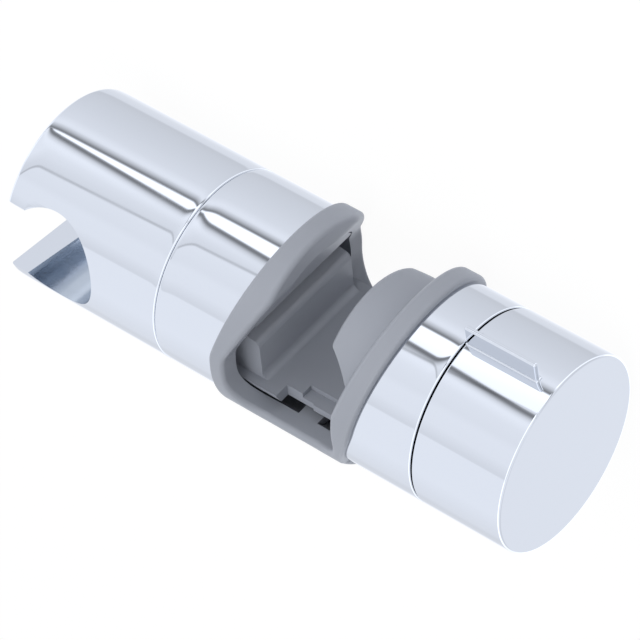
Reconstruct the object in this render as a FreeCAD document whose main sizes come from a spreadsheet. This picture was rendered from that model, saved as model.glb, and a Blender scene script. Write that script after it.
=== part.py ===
import FreeCAD, Part
import math
import operator
import os
import Sketcher

# Shower rail slider: a round body across the rail, with a tilting handset holder at one end
# and a turning knob at the other that drives a round jaw against the rail.
# X runs along the round body towards the knob, Y points to the wall side, where the rail
# channel opens, and Z points up along the rail. The origin is on the body's axis, midway
# between the two seams. Lengths are in millimetres and angles in degrees.

SIZES = {
    # Round body
    "body_dia": 38.0,
    "seam_x": 28.6,
    "sleeve_wall": 1.6,
    "fit_gap": 0.05,
    "sink": 1.0,
    "sleeve_lip": 1.0,
    # Handset holder
    "holder_len": 35.5,
    "holder_seam": 0.1,
    "socket_from_end": 9.4,
    "socket_top_dia": 23.6,
    "socket_low_dia": 20.6,
    "slot_width": 19.3,
    "holder_wall": 2.4,
    "holder_edge": 0.5,
    "holder_depth": 12.2,
    "hub_wall": 1.4,
    "swivel_gap": 0.08,
    "flange_gap": 0.1,
    # Swivel screw and what it carries
    "screw_dia": 4.9,
    "screw_head_dia": 9.2,
    "screw_head_tall": 2.0,
    "screw_key": 3.0,
    "screw_key_deep": 1.2,
    "screw_gap": 0.25,
    "head_recess_gap": 0.6,
    "washer_thick": 0.8,
    "web_thick": 2.4,
    "spring_thick": 0.6,
    "spring_rise": 0.6,
    "spigot_dia": 15.0,
    "spigot_len": 8.6,
    "bush_wall": 1.5,
    "bush_flange": 0.8,
    "bush_flange_dia": 25.0,
    "nut_flats": 8.0,
    "nut_thick": 4.0,
    "nut_gap": 0.08,
    "nut_wall": 2.6,
    # Rail saddle
    "rim_proud": 1.2,
    "bore_gap": 0.3,
    "end_wall": 3.0,
    "lip_x": -6.0,
    "lip_y": 15.0,
    "hook_x": -12.2,
    "hook_y": 3.0,
    "floor_y": -5.5,
    "right_x": 11.6,
    "right_y": 4.5,
    "right_top_x": 15.4,
    "rim_left_x": -15.2,
    "rim_left_y": 3.0,
    "rim_left_top_x": -10.7,
    "rim_right_x": 11.0,
    "rim_right_y": -12.0,
    "rim_bend_x": 15.3,
    "rim_bend_y": 0.0,
    "rim_bend_round": 25.0,
    "rim_right_top_x": 19.5,
    "rim_round": 0.6,
    "channel_round": 1.0,
    "channel_floor_y": -9.8,
    "floor_round": 7.5,
    "corner_round": 3.5,
    "hook_round": 5.0,
    "tongue_left": -1.6,
    "tongue_right": 2.6,
    "tongue_z": 9.8,
    "tongue_thick": 2.0,
    # Liner in the saddle's bore
    "liner_gap": 0.35,
    "liner_foot_x": 22.5,
    "liner_floor": 2.6,
    "block_x": -9.3,
    "block_top": 3.4,
    "block_round": 1.4,
    "block_half": 13.0,
    "pocket_deep": 6.0,
    "pocket_rise": 1.2,
    "pocket_top": 8.6,
    "face_set": 0.2,
    "face_lean": 0.33,
    "inner_gap": 0.6,
    "step_deep": 1.1,
    "step_x": -1.3,
    "step_z": 9.4,
    "notch_x": -4.8,
    "notch_z": 11.8,
    "notch_right": 1.2,
    "edge_z": 12.1,
    # Clamp jaw
    "jaw_dia": 32.0,
    "jaw_front": 5.8,
    "jaw_back": 16.4,
    "jaw_skirt": 2.2,
    "jaw_web": 2.2,
    "jaw_lift": 0.3,
    "jaw_round": 0.8,
    "seat_radius": 12.5,
    "seat_x": 0.74,
    "seat_y": 0.29,
    "tail_dia": 10.0,
    "tail_len": 20.6,
    # Knob and its bearing
    "knob_len": 18.9,
    "knob_seam": 0.15,
    "knob_wall": 1.8,
    "knob_end_wall": 2.0,
    "knob_edge": 0.4,
    "rib_tall": 4.4,
    "rib_thick": 1.0,
    "rib_len": 14.9,
    "rib_turn": 5.4,
    "plate_thick": 2.0,
    "plate_dia": 33.2,
    "plate_gap": 0.05,
    "neck_dia": 16.0,
    "neck_gap": 0.08,
    "thread_gap": 0.08,
    "clip_thick": 0.9,
    "clip_groove": 1.0,
    "clip_width": 3.0,
    "clip_mouth": 9.0,
    "neck_end": 0.4,
    "thrust_thick": 0.6,
    "thrust_dia": 24.0,
    "thrust_gap": 0.05,
    "core_flange": 2.0,
    "core_flange_dia": 26.0,
    "flange_clear": 1.0,
    "core_hub_dia": 18.0,
    "core_end_gap": 1.0,
    "core_ribs": 6,
    "core_rib_thick": 1.6,
}

# How far the cutting bars and blocks run past the body.
REACH = 30.0

vec = FreeCAD.Vector
doc = FreeCAD.newDocument("shower_rail_slider")
sheet = doc.addObject("Spreadsheet::Sheet", "Sizes")


class Size:
    """A dimension that keeps its value and the sheet expression it comes from."""

    signs = {"+": operator.add, "-": operator.sub, "*": operator.mul, "/": operator.truediv}

    def __init__(self, text, value):
        self.text = text
        self.value = value

    def joined(self, sign, other):
        other = as_size(other)
        return Size(f"({self.text} {sign} {other.text})", self.signs[sign](self.value, other.value))

    def __add__(self, other):
        return self.joined("+", other)

    def __sub__(self, other):
        return self.joined("-", other)

    def __mul__(self, other):
        return self.joined("*", other)

    def __truediv__(self, other):
        return self.joined("/", other)

    def __neg__(self):
        return as_size(0) - self

    def __float__(self):
        return self.value

    def root(self):
        return Size(f"sqrt({self.text})", math.sqrt(self.value))

    def sine(self):
        return Size(f"sin({self.text})", math.sin(math.radians(self.value)))

    def cosine(self):
        return Size(f"cos({self.text})", math.cos(math.radians(self.value)))


def as_size(number):
    return number if isinstance(number, Size) else Size(str(number), float(number))


def write_sheet():
    """Put every driving dimension in the sheet under its own name."""
    for row, (name, number) in enumerate(SIZES.items(), start=1):
        sheet.set(f"A{row}", name)
        sheet.set(f"B{row}", str(number))
        sheet.setAlias(f"B{row}", name)
    doc.recompute()


def size(name):
    return Size(f"Sizes.{name}", float(getattr(sheet, name)))


def bind(thing, **sizes):
    """Bind properties of an object to the sheet."""
    for name, value in sizes.items():
        thing.setExpression(name.replace("__", "."), as_size(value).text)


def add(kind, label):
    thing = doc.addObject(kind, "".join(word.title() for word in label.split("_")))
    thing.Label = label
    return thing


# Turn that lays a solid made along Z over onto X, with its seam line at the hidden front.
ALONG_X = FreeCAD.Rotation(vec(0, -1, 0), vec(0, 0, -1), vec(1, 0, 0))


def rod(label, radius, start, end):
    """Round bar along X from start to end."""
    bar = add("Part::Cylinder", label)
    bar.Placement = FreeCAD.Placement(vec(0, 0, 0), ALONG_X)
    bind(bar, Radius=radius, Height=as_size(end) - start, Placement__Base__x=start)
    return bar


def hex_rod(label, flats, start, end):
    """Six-sided bar along X from start to end, measured across its flats."""
    bar = add("Part::Prism", label)
    bar.Polygon = 6
    bar.Placement = FreeCAD.Placement(vec(0, 0, 0), ALONG_X)
    across = flats / as_size(3).root()
    bind(bar, Circumradius=across, Height=as_size(end) - start, Placement__Base__x=start)
    return bar


def block(label, low, high):
    """Box from its low corner to its high corner."""
    box = add("Part::Box", label)
    bind(box, Length=as_size(high[0]) - low[0], Width=as_size(high[1]) - low[1])
    bind(box, Height=as_size(high[2]) - low[2])
    bind(box, Placement__Base__x=low[0], Placement__Base__y=low[1], Placement__Base__z=low[2])
    return box


def upright_cone(label, centre_x, low_radius, top_radius, half_tall):
    """Tapered bar along Z, centred on the body's axis."""
    cone = add("Part::Cone", label)
    bind(cone, Radius1=low_radius, Radius2=top_radius, Height=half_tall * 2)
    bind(cone, Placement__Base__x=centre_x, Placement__Base__z=-half_tall)
    return cone


def upright_rod(label, centre_x, centre_y, radius, half_tall):
    """Round bar along Z."""
    bar = add("Part::Cylinder", label)
    bind(bar, Radius=radius, Height=half_tall * 2)
    bind(bar, Placement__Base__x=centre_x, Placement__Base__y=centre_y, Placement__Base__z=-half_tall)
    return bar


def joined(label, *parts):
    whole = add("Part::MultiFuse", label)
    whole.Shapes = list(parts)
    return whole


def shared(label, first, second):
    common = add("Part::Common", label)
    common.Base = first
    common.Tool = second
    return common


def cut(label, base, *tools):
    """Base with every tool taken away."""
    tool = tools[0] if len(tools) == 1 else joined(f"{label}_cutters", *tools)
    result = add("Part::Cut", label)
    result.Base = base
    result.Tool = tool
    return result


def origin_plane(body, role):
    return next(plane for plane in body.Origin.OriginFeatures if plane.Role == role)


def outline(body, label, role, corners):
    """Closed sketch of straight sides, each corner held by two bound distances."""
    sketch = body.newObject("Sketcher::SketchObject", f"{label}Outline")
    sketch.AttachmentSupport = (origin_plane(body, role), "")
    sketch.MapMode = "FlatFace"
    corners = [(as_size(across), as_size(up)) for across, up in corners]
    points = [vec(across.value, up.value, 0) for across, up in corners]
    count = len(points)
    for index in range(count):
        sketch.addGeometry(Part.LineSegment(points[index], points[(index + 1) % count]), False)
    for index in range(count):
        sketch.addConstraint(Sketcher.Constraint("Coincident", index, 2, (index + 1) % count, 1))
    for index, (across, up) in enumerate(corners):
        for kind, distance in (("DistanceX", across), ("DistanceY", up)):
            rule = Sketcher.Constraint(kind, -1, 1, index, 1, distance.value)
            number = sketch.addConstraint(rule)
            sketch.setExpression(f"Constraints[{number}]", distance.text)
    return sketch


def turned(label, corners):
    """Solid turned about X from a half section whose corners are (x, radius)."""
    body = add("PartDesign::Body", label)
    spin = body.newObject("PartDesign::Revolution", f"{body.Name}Turn")
    sketch = outline(body, body.Name, "XY_Plane", corners)
    spin.Profile = sketch
    spin.ReferenceAxis = (sketch, ["H_Axis"])
    spin.Angle = 360
    body.Tip = spin
    return body


def pressed(label, corners, half_tall):
    """Prism along Z, equal both ways, from an outline whose corners are (x, y)."""
    body = add("PartDesign::Body", label)
    sketch = outline(body, body.Name, "XY_Plane", corners)
    pad = body.newObject("PartDesign::Pad", f"{body.Name}Pad")
    pad.Profile = sketch
    pad.SideType = "Symmetric"
    bind(pad, Length=as_size(half_tall) * 2)
    body.Tip = pad
    return body


def edges_where(shape, test):
    return [f"Edge{number}" for number, edge in enumerate(shape.Edges, start=1) if test(edge)]


def rounded(body, radius, test):
    """Round the edges of a body's last feature that pass the test."""
    doc.recompute()
    base = body.Tip if body.Tip else body.BaseFeature
    names = edges_where(base.Shape, test)
    if not names:
        raise RuntimeError(f"{body.Label}: no edge to round")
    feature = body.newObject("PartDesign::Fillet", f"{body.Name}Round")
    feature.Base = (base, names)
    bind(feature, Radius=radius)
    body.Tip = feature
    return feature


def finished(label, solid):
    """Body that carries on from a solid, so that its edges can be rounded."""
    body = add("PartDesign::Body", label)
    body.BaseFeature = solid
    doc.recompute()
    return body


def upright_edge_at(x, y):
    """Test for an edge along Z through a corner of an outline."""
    def test(edge):
        ends = [vertex.Point for vertex in edge.Vertexes]
        return len(ends) == 2 and all(math.hypot(p.x - x.value, p.y - y.value) < 0.01 for p in ends)
    return test


write_sheet()

# Derived sizes of the round body
radius = size("body_dia") / 2
rim_radius = radius + size("rim_proud")
sleeve_bore = radius - size("sleeve_wall")
core_radius = sleeve_bore - size("fit_gap")
bore_radius = size("jaw_dia") / 2 + size("bore_gap")
bore_edge_z = (bore_radius * bore_radius - size("channel_floor_y") * size("channel_floor_y")).root()
left_end = -size("seam_x") + size("holder_seam")
right_end = size("seam_x") - size("knob_seam")
holder_face = -size("seam_x") - size("holder_seam")
holder_end = -size("seam_x") - size("holder_len")
far = as_size(REACH)
sink = size("sink")

# Derived sizes of the swivel
socket_x = holder_end + size("socket_from_end")
socket_mid = (size("socket_top_dia") + size("socket_low_dia")) / 4
socket_back = socket_x + socket_mid
holder_floor = holder_face - size("holder_depth")
hub_right = holder_face - size("bush_flange") - size("flange_gap")
web_right = left_end - size("spigot_len") - size("spring_thick") - size("spring_rise")
web_left = web_right - size("web_thick")
head_seat = web_left - size("washer_thick")
spigot_end = left_end - size("spigot_len")
nut_left = left_end + size("end_wall")
nut_right = nut_left + size("nut_thick")
nut_boss_radius = size("nut_flats") / 2 + size("nut_wall")
screw_hole = size("screw_dia") / 2 + size("screw_gap")
bush_bore = size("spigot_dia") / 2 + size("fit_gap")
bush_outer = bush_bore + size("bush_wall")
hub_bore = bush_outer + size("swivel_gap")
hub_outer = hub_bore + size("hub_wall")

# Derived sizes of the knob's bearing
lip_left = right_end - size("sleeve_lip")
plate_right = lip_left - size("plate_gap") * 2
plate_left = plate_right - size("plate_thick")
neck_left = plate_left - size("clip_thick") - size("neck_end") - size("neck_gap")
core_face = plate_right + size("thrust_thick") + size("thrust_gap") * 2
flange_right = core_face + size("core_flange")
knob_left = size("seam_x") + size("knob_seam")
knob_right = size("seam_x") + size("knob_len")
core_right = knob_right - size("knob_end_wall") - size("core_end_gap")
knob_bore = radius - size("knob_wall")
liner_right = plate_left - size("fit_gap")
clip_right = plate_left - size("neck_gap")
clip_left = clip_right - size("clip_thick")
clip_groove = size("neck_dia") / 2 - size("clip_groove")
clip_edge = clip_groove + size("clip_width")


def handset_holder():
    """Chrome-plated cup with the tapered socket across it and the hose slot out of its end."""
    shell = rod("holder_blank", radius, holder_end, holder_face)
    hollow = rod("holder_hollow", radius - size("holder_wall"), holder_floor, far)
    hub = rod("holder_hub", hub_outer, holder_floor - sink, hub_right)
    hub_hole = rod("holder_hub_hole", hub_bore, web_right, far)
    # The taper keeps its two diameters at the top and bottom of the round body.
    lean = (size("socket_top_dia") - size("socket_low_dia")) / 2 / size("body_dia")
    low = size("socket_low_dia") / 2 - lean * sink
    top = size("socket_top_dia") / 2 + lean * sink
    socket = upright_cone("socket_taper", socket_x, low, top, radius + sink)
    half_slot = size("slot_width") / 2
    slot = block("hose_slot", (holder_end - sink, -half_slot, -far), (socket_x, half_slot, far))
    recess_radius = size("screw_head_dia") / 2 + size("head_recess_gap")
    recess = rod("screw_head_recess", recess_radius, socket_x, web_left)
    hole = rod("holder_screw_hole", screw_hole, socket_x, far)
    walls = cut("holder_walls", shell, hollow)
    inside = joined("holder_inside", walls, hub)
    solid = cut("holder_solid", inside, hub_hole, socket, slot, recess, hole)
    body = finished("handset_holder", solid)
    rounded(body, size("holder_edge"), holder_outer_edge)
    return body


def holder_outer_edge(edge):
    """Rim of the end face and the long edges where the slot leaves it."""
    box = edge.BoundBox
    on_end = abs(box.XMax - holder_end.value) < 0.01
    return on_end and box.DiagonalLength > 1


def swivel_parts():
    """Screw, washer, disc spring, bush and nut that let the holder tilt."""
    shank = size("screw_dia") / 2
    head_top = head_seat - size("screw_head_tall")
    head = rod("screw_head", size("screw_head_dia") / 2, head_top, head_seat)
    stem = rod("screw_stem", shank, head_seat, nut_right)
    key = hex_rod("screw_key", size("screw_key"), head_top - sink, head_top + size("screw_key_deep"))
    cut("holder_screw", joined("screw_blank", head, stem), key)
    turned("screw_washer", [
        (head_seat, screw_hole), (web_left, screw_hole),
        (web_left, size("screw_head_dia") / 2), (head_seat, size("screw_head_dia") / 2)])
    spring_edge = size("spigot_dia") / 2 - size("screw_gap")
    turned("disc_spring", [
        (web_right, screw_hole), (web_right + size("spring_thick"), screw_hole),
        (spigot_end, spring_edge), (spigot_end - size("spring_thick"), spring_edge)])
    flange_left = left_end - size("bush_flange")
    bush_end = spigot_end + size("inner_gap")
    turned("swivel_bush", [
        (bush_end, bush_bore), (left_end, bush_bore),
        (left_end, size("bush_flange_dia") / 2), (flange_left, size("bush_flange_dia") / 2),
        (flange_left, bush_outer), (bush_end, bush_outer)])
    blank = hex_rod("nut_blank", size("nut_flats"), nut_left, nut_right)
    cut("swivel_nut", blank, rod("nut_hole", shank, nut_left - sink, nut_right + sink))


def channel_outline():
    """Section of the rail channel: lip, hook, floor and the right wall, open towards the wall."""
    top = far
    slope = (size("right_top_x") - size("right_x")) / (radius - size("right_y"))
    right_far = size("right_x") + slope * (top - size("right_y"))
    return [
        (size("lip_x"), top), (size("lip_x"), size("lip_y")),
        (size("hook_x"), size("hook_y")), (size("hook_x"), size("channel_floor_y")),
        (size("right_x"), size("channel_floor_y")), (size("right_x"), size("right_y")),
        (right_far, top)]


def rim_outline(gap):
    """Plan of the proud rim on the round body; gap draws it wider on both sides."""
    low = -far
    top = far
    left_slope = (size("rim_left_top_x") - size("rim_left_x")) / (radius - size("rim_left_y"))
    left_far = size("rim_left_x") + left_slope * (top - size("rim_left_y"))
    right_slope = (size("rim_right_top_x") - size("rim_bend_x")) / (radius - size("rim_bend_y"))
    right_far = size("rim_bend_x") + right_slope * (top - size("rim_bend_y"))
    return [
        (left_far - gap, top), (size("rim_left_x") - gap, size("rim_left_y")),
        (size("rim_left_x") - gap, low), (size("rim_right_x") + gap, low),
        (size("rim_right_x") + gap, size("rim_right_y")),
        (size("rim_bend_x") + gap, size("rim_bend_y")), (right_far + gap, top)]


def rim_plan(label, gap):
    plan = pressed(label, rim_outline(as_size(gap)), far)
    rounded(plan, size("hook_round"), upright_edge_at(size("rim_left_x") - gap, size("rim_left_y")))
    rounded(plan, size("rim_bend_round"), upright_edge_at(size("rim_bend_x") + gap, size("rim_bend_y")))
    return plan


def sleeves():
    """Two chrome-plated tubes over the saddle's core, their inner ends cut to the rim's plan."""
    gap = size("fit_gap")
    left = turned("left_sleeve_blank", [
        (left_end, sleeve_bore), (as_size(0), sleeve_bore), (as_size(0), radius), (left_end, radius)])
    cut("left_sleeve", left, rim_plan("left_sleeve_end", gap))
    lip_bore = size("core_flange_dia") / 2 + size("flange_clear")
    right = turned("right_sleeve_blank", [
        (as_size(0), sleeve_bore), (lip_left, sleeve_bore), (lip_left, lip_bore),
        (right_end, lip_bore), (right_end, radius), (as_size(0), radius)])
    cut("right_sleeve", right, rim_plan("right_sleeve_end", gap))


def rail_channel():
    """Prism of the rail channel with its corners rounded."""
    channel = pressed("saddle_channel", channel_outline(), far)
    rounded(channel, size("hook_round"), upright_edge_at(size("hook_x"), size("hook_y")))
    for x in (size("hook_x"), size("right_x")):
        rounded(channel, size("floor_round"), upright_edge_at(x, size("channel_floor_y")))
    for x, y in ((size("lip_x"), size("lip_y")), (size("right_x"), size("right_y"))):
        rounded(channel, size("corner_round"), upright_edge_at(x, y))
    return channel


def on_rim(edge):
    return all(abs(math.hypot(point.y, point.z) - rim_radius.value) < 0.02 for point in edge.discretize(7))


def rim_outer_edge(edge):
    """Edge of the proud rim beside a chrome sleeve."""
    return on_rim(edge) and not isinstance(edge.Curve, Part.Line)


def channel_edge_of(channel):
    """Test for an edge of the rim that runs along the channel's walls."""
    walls = channel.Shape.Shells[0]

    def test(edge):
        points = edge.discretize(7)
        return on_rim(edge) and all(Part.Vertex(point).distToShape(walls)[0] < 0.02 for point in points)
    return test


def saddle_rim(channel):
    """Proud rounded rim round the channel, all its edges eased."""
    blank = shared("rim_blank", rod("rim_round_bar", rim_radius, -far, far), rim_plan("saddle_plan", 0))
    band = finished("rim_band", blank)
    rounded(band, size("rim_round"), rim_outer_edge)
    rim = finished("rim_open", cut("rim_cut", band, channel))
    rounded(rim, size("channel_round"), channel_edge_of(channel))
    return rim


def rail_saddle():
    """Grey moulding: core tube, proud rim, spigot, nut pocket and the rail channel through it."""
    channel = rail_channel()
    core = rod("saddle_core", core_radius, left_end, lip_left - size("plate_gap"))
    spigot = rod("saddle_spigot", size("spigot_dia") / 2, spigot_end, left_end + sink)
    open_core = cut("saddle_open_core", joined("saddle_stem", core, spigot), channel)
    outside = joined("saddle_outside", open_core, saddle_rim(channel))
    hollow = cut("saddle_hollow", outside, rod("saddle_bore", bore_radius, nut_left, far))
    boss = rod("saddle_nut_boss", nut_boss_radius, nut_left - sink, nut_right)
    pocket_flats = size("nut_flats") + size("nut_gap") * 2
    pocket = hex_rod("saddle_nut_pocket", pocket_flats, nut_left, nut_right + sink)
    seat = rod("plate_seat", size("plate_dia") / 2 + size("plate_gap"), plate_left - size("plate_gap"), far)
    hole = rod("saddle_screw_hole", screw_hole, spigot_end - sink, nut_left + sink)
    return cut("rail_saddle", joined("saddle_with_boss", hollow, boss, *saddle_tongues()), pocket, seat, hole)


def mirrored_spans(start, end):
    """The same stretch of Z on the near and on the far side, each from low to high."""
    return (("near", start, end), ("far", -end, -start))


def saddle_tongues():
    """Two short tongues that carry on the channel's floor under the liner."""
    top = size("channel_floor_y")
    tongues = []
    for side, start, end in mirrored_spans(size("tongue_z"), bore_edge_z):
        low = (size("tongue_left"), top - size("tongue_thick"), start)
        tongues.append(block(f"saddle_tongue_{side}", low, (size("tongue_right"), top, end)))
    return tongues


def liner_outline():
    """Side view of the liner: floor, rounded block, pocket above it and the leaning upper face."""
    face_low = size("block_x") + size("face_set")
    face_top = face_low + size("face_lean") * (radius - size("pocket_top"))
    back = size("block_x") - size("pocket_deep")
    low = size("floor_y") - size("liner_floor")
    return [
        (liner_right, size("floor_y")), (size("block_x"), size("floor_y")),
        (size("block_x"), size("block_top")), (back, size("block_top") + size("pocket_rise")),
        (back, size("pocket_top")), (face_low, size("pocket_top")),
        (face_top, radius), (nut_left, radius), (nut_left, low), (liner_right, low)]


def rail_liner():
    """Grey insert in the saddle's bore that the rail bears against."""
    plan = pressed("liner_plan", liner_outline(), far)
    for corner_y in (size("block_top"), size("floor_y")):
        rounded(plan, size("block_round"), upright_edge_at(size("block_x"), corner_y))
    blank = shared("liner_blank", rod("liner_round", bore_radius - size("liner_gap"), -far, far), plan)
    floor = size("floor_y")
    above = floor + sink
    cutters = []
    for side, start, end in mirrored_spans(size("step_z"), far):
        low = (size("step_x"), floor - size("step_deep"), start)
        cutters.append(block(f"liner_step_{side}", low, (far, above, end)))
    for side, start, end in mirrored_spans(size("notch_z"), far):
        low = (size("notch_x"), -far, start)
        cutters.append(block(f"liner_notch_{side}", low, (size("notch_right"), above, end)))
    for side, start, end in mirrored_spans(size("edge_z"), far):
        low = (size("notch_right"), -far, start)
        cutters.append(block(f"liner_edge_{side}", low, (far, above, end)))
    for side, start, end in mirrored_spans(size("block_half"), far):
        low = (size("block_x") - size("pocket_deep"), floor, start)
        high = (size("block_x") + size("block_round"), size("pocket_top") - sink, end)
        cutters.append(block(f"liner_block_end_{side}", low, high))
    gap = size("inner_gap")
    cutters.append(rod("liner_nut_room", nut_boss_radius + gap, -far, nut_right + gap))
    cutters.append(rod("liner_clip_room", clip_edge + gap, size("liner_foot_x"), far))
    return cut("rail_liner", blank, *cutters)


def clamp_jaw():
    """Round jaw with a curved rail seat across its face and a threaded tail behind it."""
    jaw_radius = size("jaw_dia") / 2
    web_back = size("seat_x") + size("seat_radius") + size("jaw_web")
    head = rod("jaw_head", jaw_radius, size("jaw_front"), size("jaw_back"))
    under = size("floor_y") + size("jaw_lift")
    flat = block("jaw_flat", (-far, -far, -far), (far, under, far))
    seat = upright_rod("jaw_seat", size("seat_x"), size("seat_y"), size("seat_radius"), far)
    rear = rod("jaw_rear_hollow", jaw_radius - size("jaw_skirt"), web_back, far)
    shell = cut("jaw_shell", head, rear)
    trimmed = cut("jaw_trimmed", shell, flat, seat)
    tail = rod("jaw_tail", size("tail_dia") / 2, web_back - sink, web_back + size("tail_len"))
    under_tail = block("jaw_flat_behind", (-far, -far, -far), (web_back, under, far))
    solid = cut("jaw_solid", joined("jaw_with_tail", trimmed, tail), under_tail)
    body = finished("clamp_jaw", solid)
    rounded(body, size("jaw_round"), jaw_front_edge)
    return body


def jaw_front_edge(edge):
    """Front rim of the jaw, where its face meets its outside."""
    box = edge.BoundBox
    at_front = abs(box.XMax - size("jaw_front").value) < 0.01
    middle = edge.valueAt((edge.FirstParameter + edge.LastParameter) / 2)
    outside = abs(math.hypot(middle.y, middle.z) - size("jaw_dia").value / 2) < 0.02
    return at_front and outside


def knob_bearing():
    """Plate that closes the saddle, the washer under the knob and the clip that holds its neck."""
    neck_hole = size("neck_dia") / 2 + size("neck_gap")
    turned("bearing_plate", [
        (plate_left, neck_hole), (plate_right, neck_hole),
        (plate_right, size("plate_dia") / 2), (plate_left, size("plate_dia") / 2)])
    thrust_left = plate_right + size("thrust_gap")
    thrust_right = thrust_left + size("thrust_thick")
    turned("thrust_washer", [
        (thrust_left, neck_hole), (thrust_right, neck_hole),
        (thrust_right, size("thrust_dia") / 2), (thrust_left, size("thrust_dia") / 2)])
    ring = turned("clip_ring", [
        (clip_left, clip_groove), (clip_right, clip_groove),
        (clip_right, clip_edge), (clip_left, clip_edge)])
    half = size("clip_mouth") / 2
    mouth = block("clip_mouth", (clip_left - sink, as_size(0), -half), (clip_right + sink, far, half))
    cut("retaining_clip", ring, mouth)


def knob_core():
    """Inner moulding of the knob: threaded hub, neck, flange and ribs that carry the cap."""
    neck = size("neck_dia") / 2
    bore = size("tail_dia") / 2 + size("thread_gap")
    hub = size("core_hub_dia") / 2
    flange = size("core_flange_dia") / 2
    turned_core = turned("knob_core_turned", [
        (neck_left, bore), (core_right, bore), (core_right, hub), (flange_right, hub),
        (flange_right, flange), (core_face, flange), (core_face, neck), (clip_right, neck),
        (clip_right, clip_groove), (clip_left, clip_groove), (clip_left, neck), (neck_left, neck)])
    ribs = []
    for index in range(int(size("core_ribs").value)):
        low = (flange_right, hub - sink)
        high = (core_right, knob_bore - size("fit_gap"))
        turn = as_size(360 * index) / size("core_ribs")
        ribs.append(swung_rib(f"knob_core_rib_{index}", low, high, size("core_rib_thick"), turn))
    return joined("knob_core", turned_core, *ribs)


def swung_rib(label, low, high, thick, turn):
    """Flat rib standing out from the axis, from (x, radius) to (x, radius), swung round X."""
    rib = add("Part::Box", label)
    bind(rib, Length=high[0] - low[0], Width=high[1] - low[1], Height=thick)
    rib.Placement = FreeCAD.Placement(vec(0, 0, 0), FreeCAD.Rotation(vec(1, 0, 0), turn.value))
    half = thick / 2
    bind(rib, Placement__Rotation__Angle=turn, Placement__Base__x=low[0])
    bind(rib, Placement__Base__y=low[1] * turn.cosine() + half * turn.sine())
    bind(rib, Placement__Base__z=low[1] * turn.sine() - half * turn.cosine())
    return rib


def knob():
    """Chrome-plated cap with a thin grip rib along it."""
    inner_end = knob_right - size("knob_end_wall")
    cap = turned("knob_cap", [
        (knob_left, knob_bore), (inner_end, knob_bore), (inner_end, as_size(0)),
        (knob_right, as_size(0)), (knob_right, radius), (knob_left, radius)])
    rounded(cap, size("knob_edge"), knob_outer_edge)
    low = (knob_left, radius - size("knob_wall") / 2)
    high = (knob_left + size("rib_len"), radius + size("rib_tall"))
    rib = swung_rib("knob_rib", low, high, size("rib_thick"), size("rib_turn"))
    return joined("knob", cap, rib)


def knob_outer_edge(edge):
    box = edge.BoundBox
    return abs(box.XMin - knob_right.value) < 0.01 and abs(box.YMax - radius.value) < 0.01


NODES = [
    "handset_holder", "holder_screw", "screw_washer", "disc_spring", "swivel_bush", "swivel_nut",
    "left_sleeve", "rail_saddle", "rail_liner", "clamp_jaw", "right_sleeve", "bearing_plate",
    "thrust_washer", "retaining_clip", "knob_core", "knob",
]


def check_document():
    """Stop if any object failed or any sub-part has no valid solid."""
    for thing in doc.Objects:
        if "Invalid" in thing.State or "Error" in thing.State:
            raise RuntimeError(f"{thing.Label} failed: {thing.State}")
    for label in NODES:
        shape = doc.getObjectsByLabel(label)[0].Shape
        if shape.isNull() or not shape.isValid() or not shape.Solids:
            raise RuntimeError(f"{label} has no valid solid")


def write_parts():
    os.makedirs("parts", exist_ok=True)
    for label in NODES:
        thing = doc.getObjectsByLabel(label)[0]
        thing.Shape.exportStep(f"parts/{label}.step")
        box = thing.Shape.BoundBox
        corners = (box.XMin, box.YMin, box.ZMin, box.XMax, box.YMax, box.ZMax)
        print(label, len(thing.Shape.Solids), round(thing.Shape.Volume, 1), [round(c, 2) for c in corners])


handset_holder()
swivel_parts()
sleeves()
rail_saddle()
rail_liner()
clamp_jaw()
knob_bearing()
knob_core()
knob()
doc.recompute()
check_document()
write_parts()
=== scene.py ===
import math
import bpy
from mathutils import Matrix, Vector


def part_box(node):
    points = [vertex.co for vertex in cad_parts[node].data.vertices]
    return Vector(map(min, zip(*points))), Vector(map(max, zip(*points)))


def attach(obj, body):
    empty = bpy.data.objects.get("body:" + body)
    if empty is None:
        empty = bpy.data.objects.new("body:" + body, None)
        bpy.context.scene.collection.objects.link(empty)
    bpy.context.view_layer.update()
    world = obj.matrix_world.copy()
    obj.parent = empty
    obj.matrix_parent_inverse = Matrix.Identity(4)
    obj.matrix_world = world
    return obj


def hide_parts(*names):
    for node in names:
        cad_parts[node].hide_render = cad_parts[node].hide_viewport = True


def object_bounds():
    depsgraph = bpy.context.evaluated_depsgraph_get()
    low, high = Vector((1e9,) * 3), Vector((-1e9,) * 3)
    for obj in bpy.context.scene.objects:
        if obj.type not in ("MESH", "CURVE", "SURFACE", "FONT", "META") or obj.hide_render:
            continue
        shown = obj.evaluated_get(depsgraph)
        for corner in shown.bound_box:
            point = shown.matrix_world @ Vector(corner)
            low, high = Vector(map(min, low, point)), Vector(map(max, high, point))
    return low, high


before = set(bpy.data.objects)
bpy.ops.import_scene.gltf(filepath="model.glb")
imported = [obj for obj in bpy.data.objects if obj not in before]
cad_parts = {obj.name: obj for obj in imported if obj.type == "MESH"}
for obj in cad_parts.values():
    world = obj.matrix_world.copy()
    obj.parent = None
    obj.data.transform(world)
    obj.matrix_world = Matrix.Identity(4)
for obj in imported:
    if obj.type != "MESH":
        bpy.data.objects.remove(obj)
CAD_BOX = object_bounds()

bl_info = {
    "name": "Shower rail slider",
    "version": (1, 0, 0),
    "blender": (4, 5, 0),
    "location": "3D View > Sidebar > Rail slider",
    "description": "Dresses a shower rail slider and sets up its product-photo studio",
    "category": "Add Mesh",
}

MM = 0.001
# Turn that lays an upright bar along X.
ALONG_X = (0.0, math.pi / 2, 0.0)
# How far cutting pieces run past the body.
FAR = 30 * MM
# How far the holder's cutters reach from the axis, in body radii.
CUT_REACH = 1.2
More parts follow.
